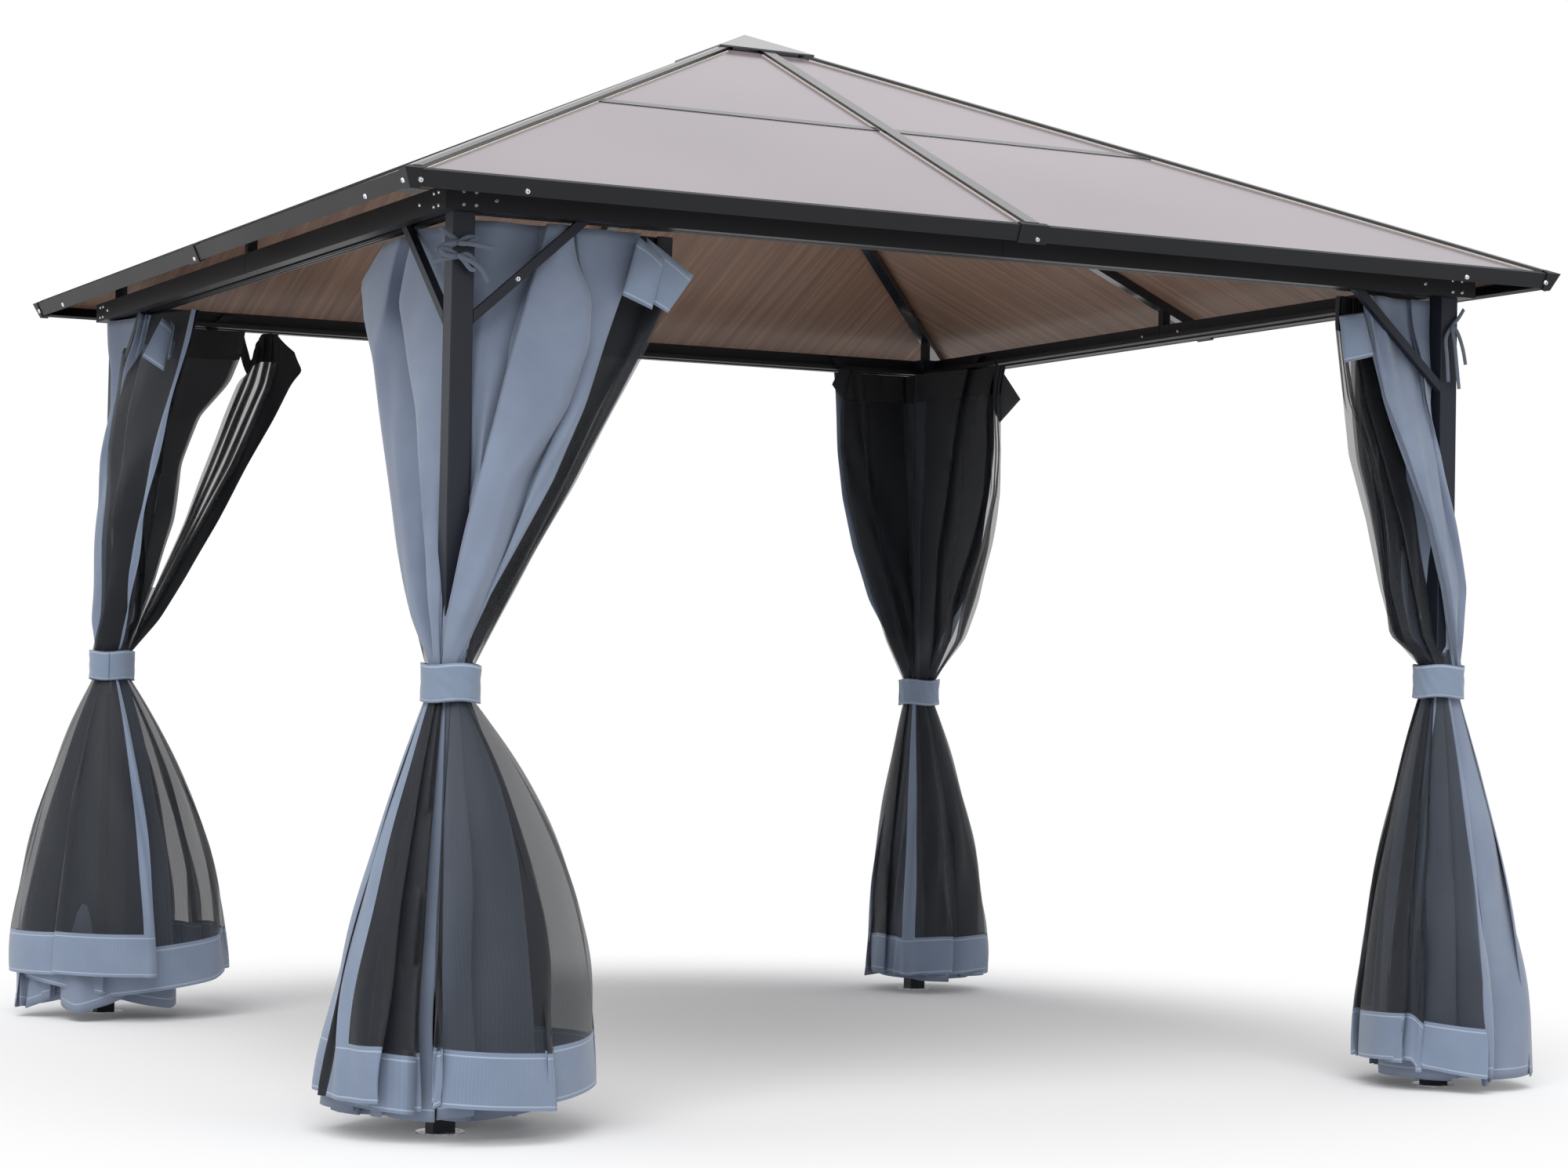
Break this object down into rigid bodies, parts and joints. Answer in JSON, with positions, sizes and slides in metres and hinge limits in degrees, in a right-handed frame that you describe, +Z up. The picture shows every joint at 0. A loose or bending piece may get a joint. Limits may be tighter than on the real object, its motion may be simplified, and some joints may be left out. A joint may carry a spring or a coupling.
{
  "type": "metal gazebo",
  "caption": "Square open garden gazebo: dark metal posts, ring beams and hipped roof of bronze panels, with grey curtains and black nets gathered at the posts.",
  "frame": {"origin": "on the ground under the apex, in the middle of the four posts", "axes": "+Z up, the front faces -Y, the left side faces -X"},
  "size_m": [3.1399, 3.1398, 2.6711],
  "materials": {
    "frame_metal": "satin powder coat",
    "plate_steel": "bright zinc",
    "roof_panel": "bronze twin-wall sheet",
    "curtain_cloth": "woven polyester",
    "net_mesh": "sheer mesh",
    "tie_cloth": "woven polyester"
  },
  "bodies": {
    "root": {"apex_cap": "frame_metal", "apex_hub": "frame_metal", "base_plates": "plate_steel", "curtain_back_left": "curtain_cloth", "curtain_back_right": "curtain_cloth", "curtain_front_left": "curtain_cloth", "curtain_front_right": "curtain_cloth", "curtain_tracks": "frame_metal", "eave_rail_back": "frame_metal", "eave_rail_front": "frame_metal", "eave_rail_left": "frame_metal", "eave_rail_right": "frame_metal", "hip_roof_bar_back_left": "frame_metal", "hip_roof_bar_back_right": "frame_metal", "hip_roof_bar_front_left": "frame_metal", "hip_roof_bar_front_right": "frame_metal", "knee_braces": "frame_metal", "lower_roof_panels_back": "roof_panel", "lower_roof_panels_front": "roof_panel", "lower_roof_panels_left": "roof_panel", "lower_roof_panels_right": "roof_panel", "middle_roof_bar_back": "frame_metal", "middle_roof_bar_front": "frame_metal", "middle_roof_bar_left": "frame_metal", "middle_roof_bar_right": "frame_metal", "net_back_left": "net_mesh", "net_back_right": "net_mesh", "net_front_left": "net_mesh", "net_front_right": "net_mesh", "panel_joint_strips": "frame_metal", "post_back_left": "frame_metal", "post_back_right": "frame_metal", "post_front_left": "frame_metal", "post_front_right": "frame_metal", "rail_covers": "frame_metal", "ring_beam_back": "frame_metal", "ring_beam_front": "frame_metal", "ring_beam_left": "frame_metal", "ring_beam_right": "frame_metal", "roof_struts": "frame_metal", "tie_backs": "tie_cloth", "upper_roof_panels_back": "roof_panel", "upper_roof_panels_front": "roof_panel", "upper_roof_panels_left": "roof_panel", "upper_roof_panels_right": "roof_panel"}
  },
  "joints": []
}
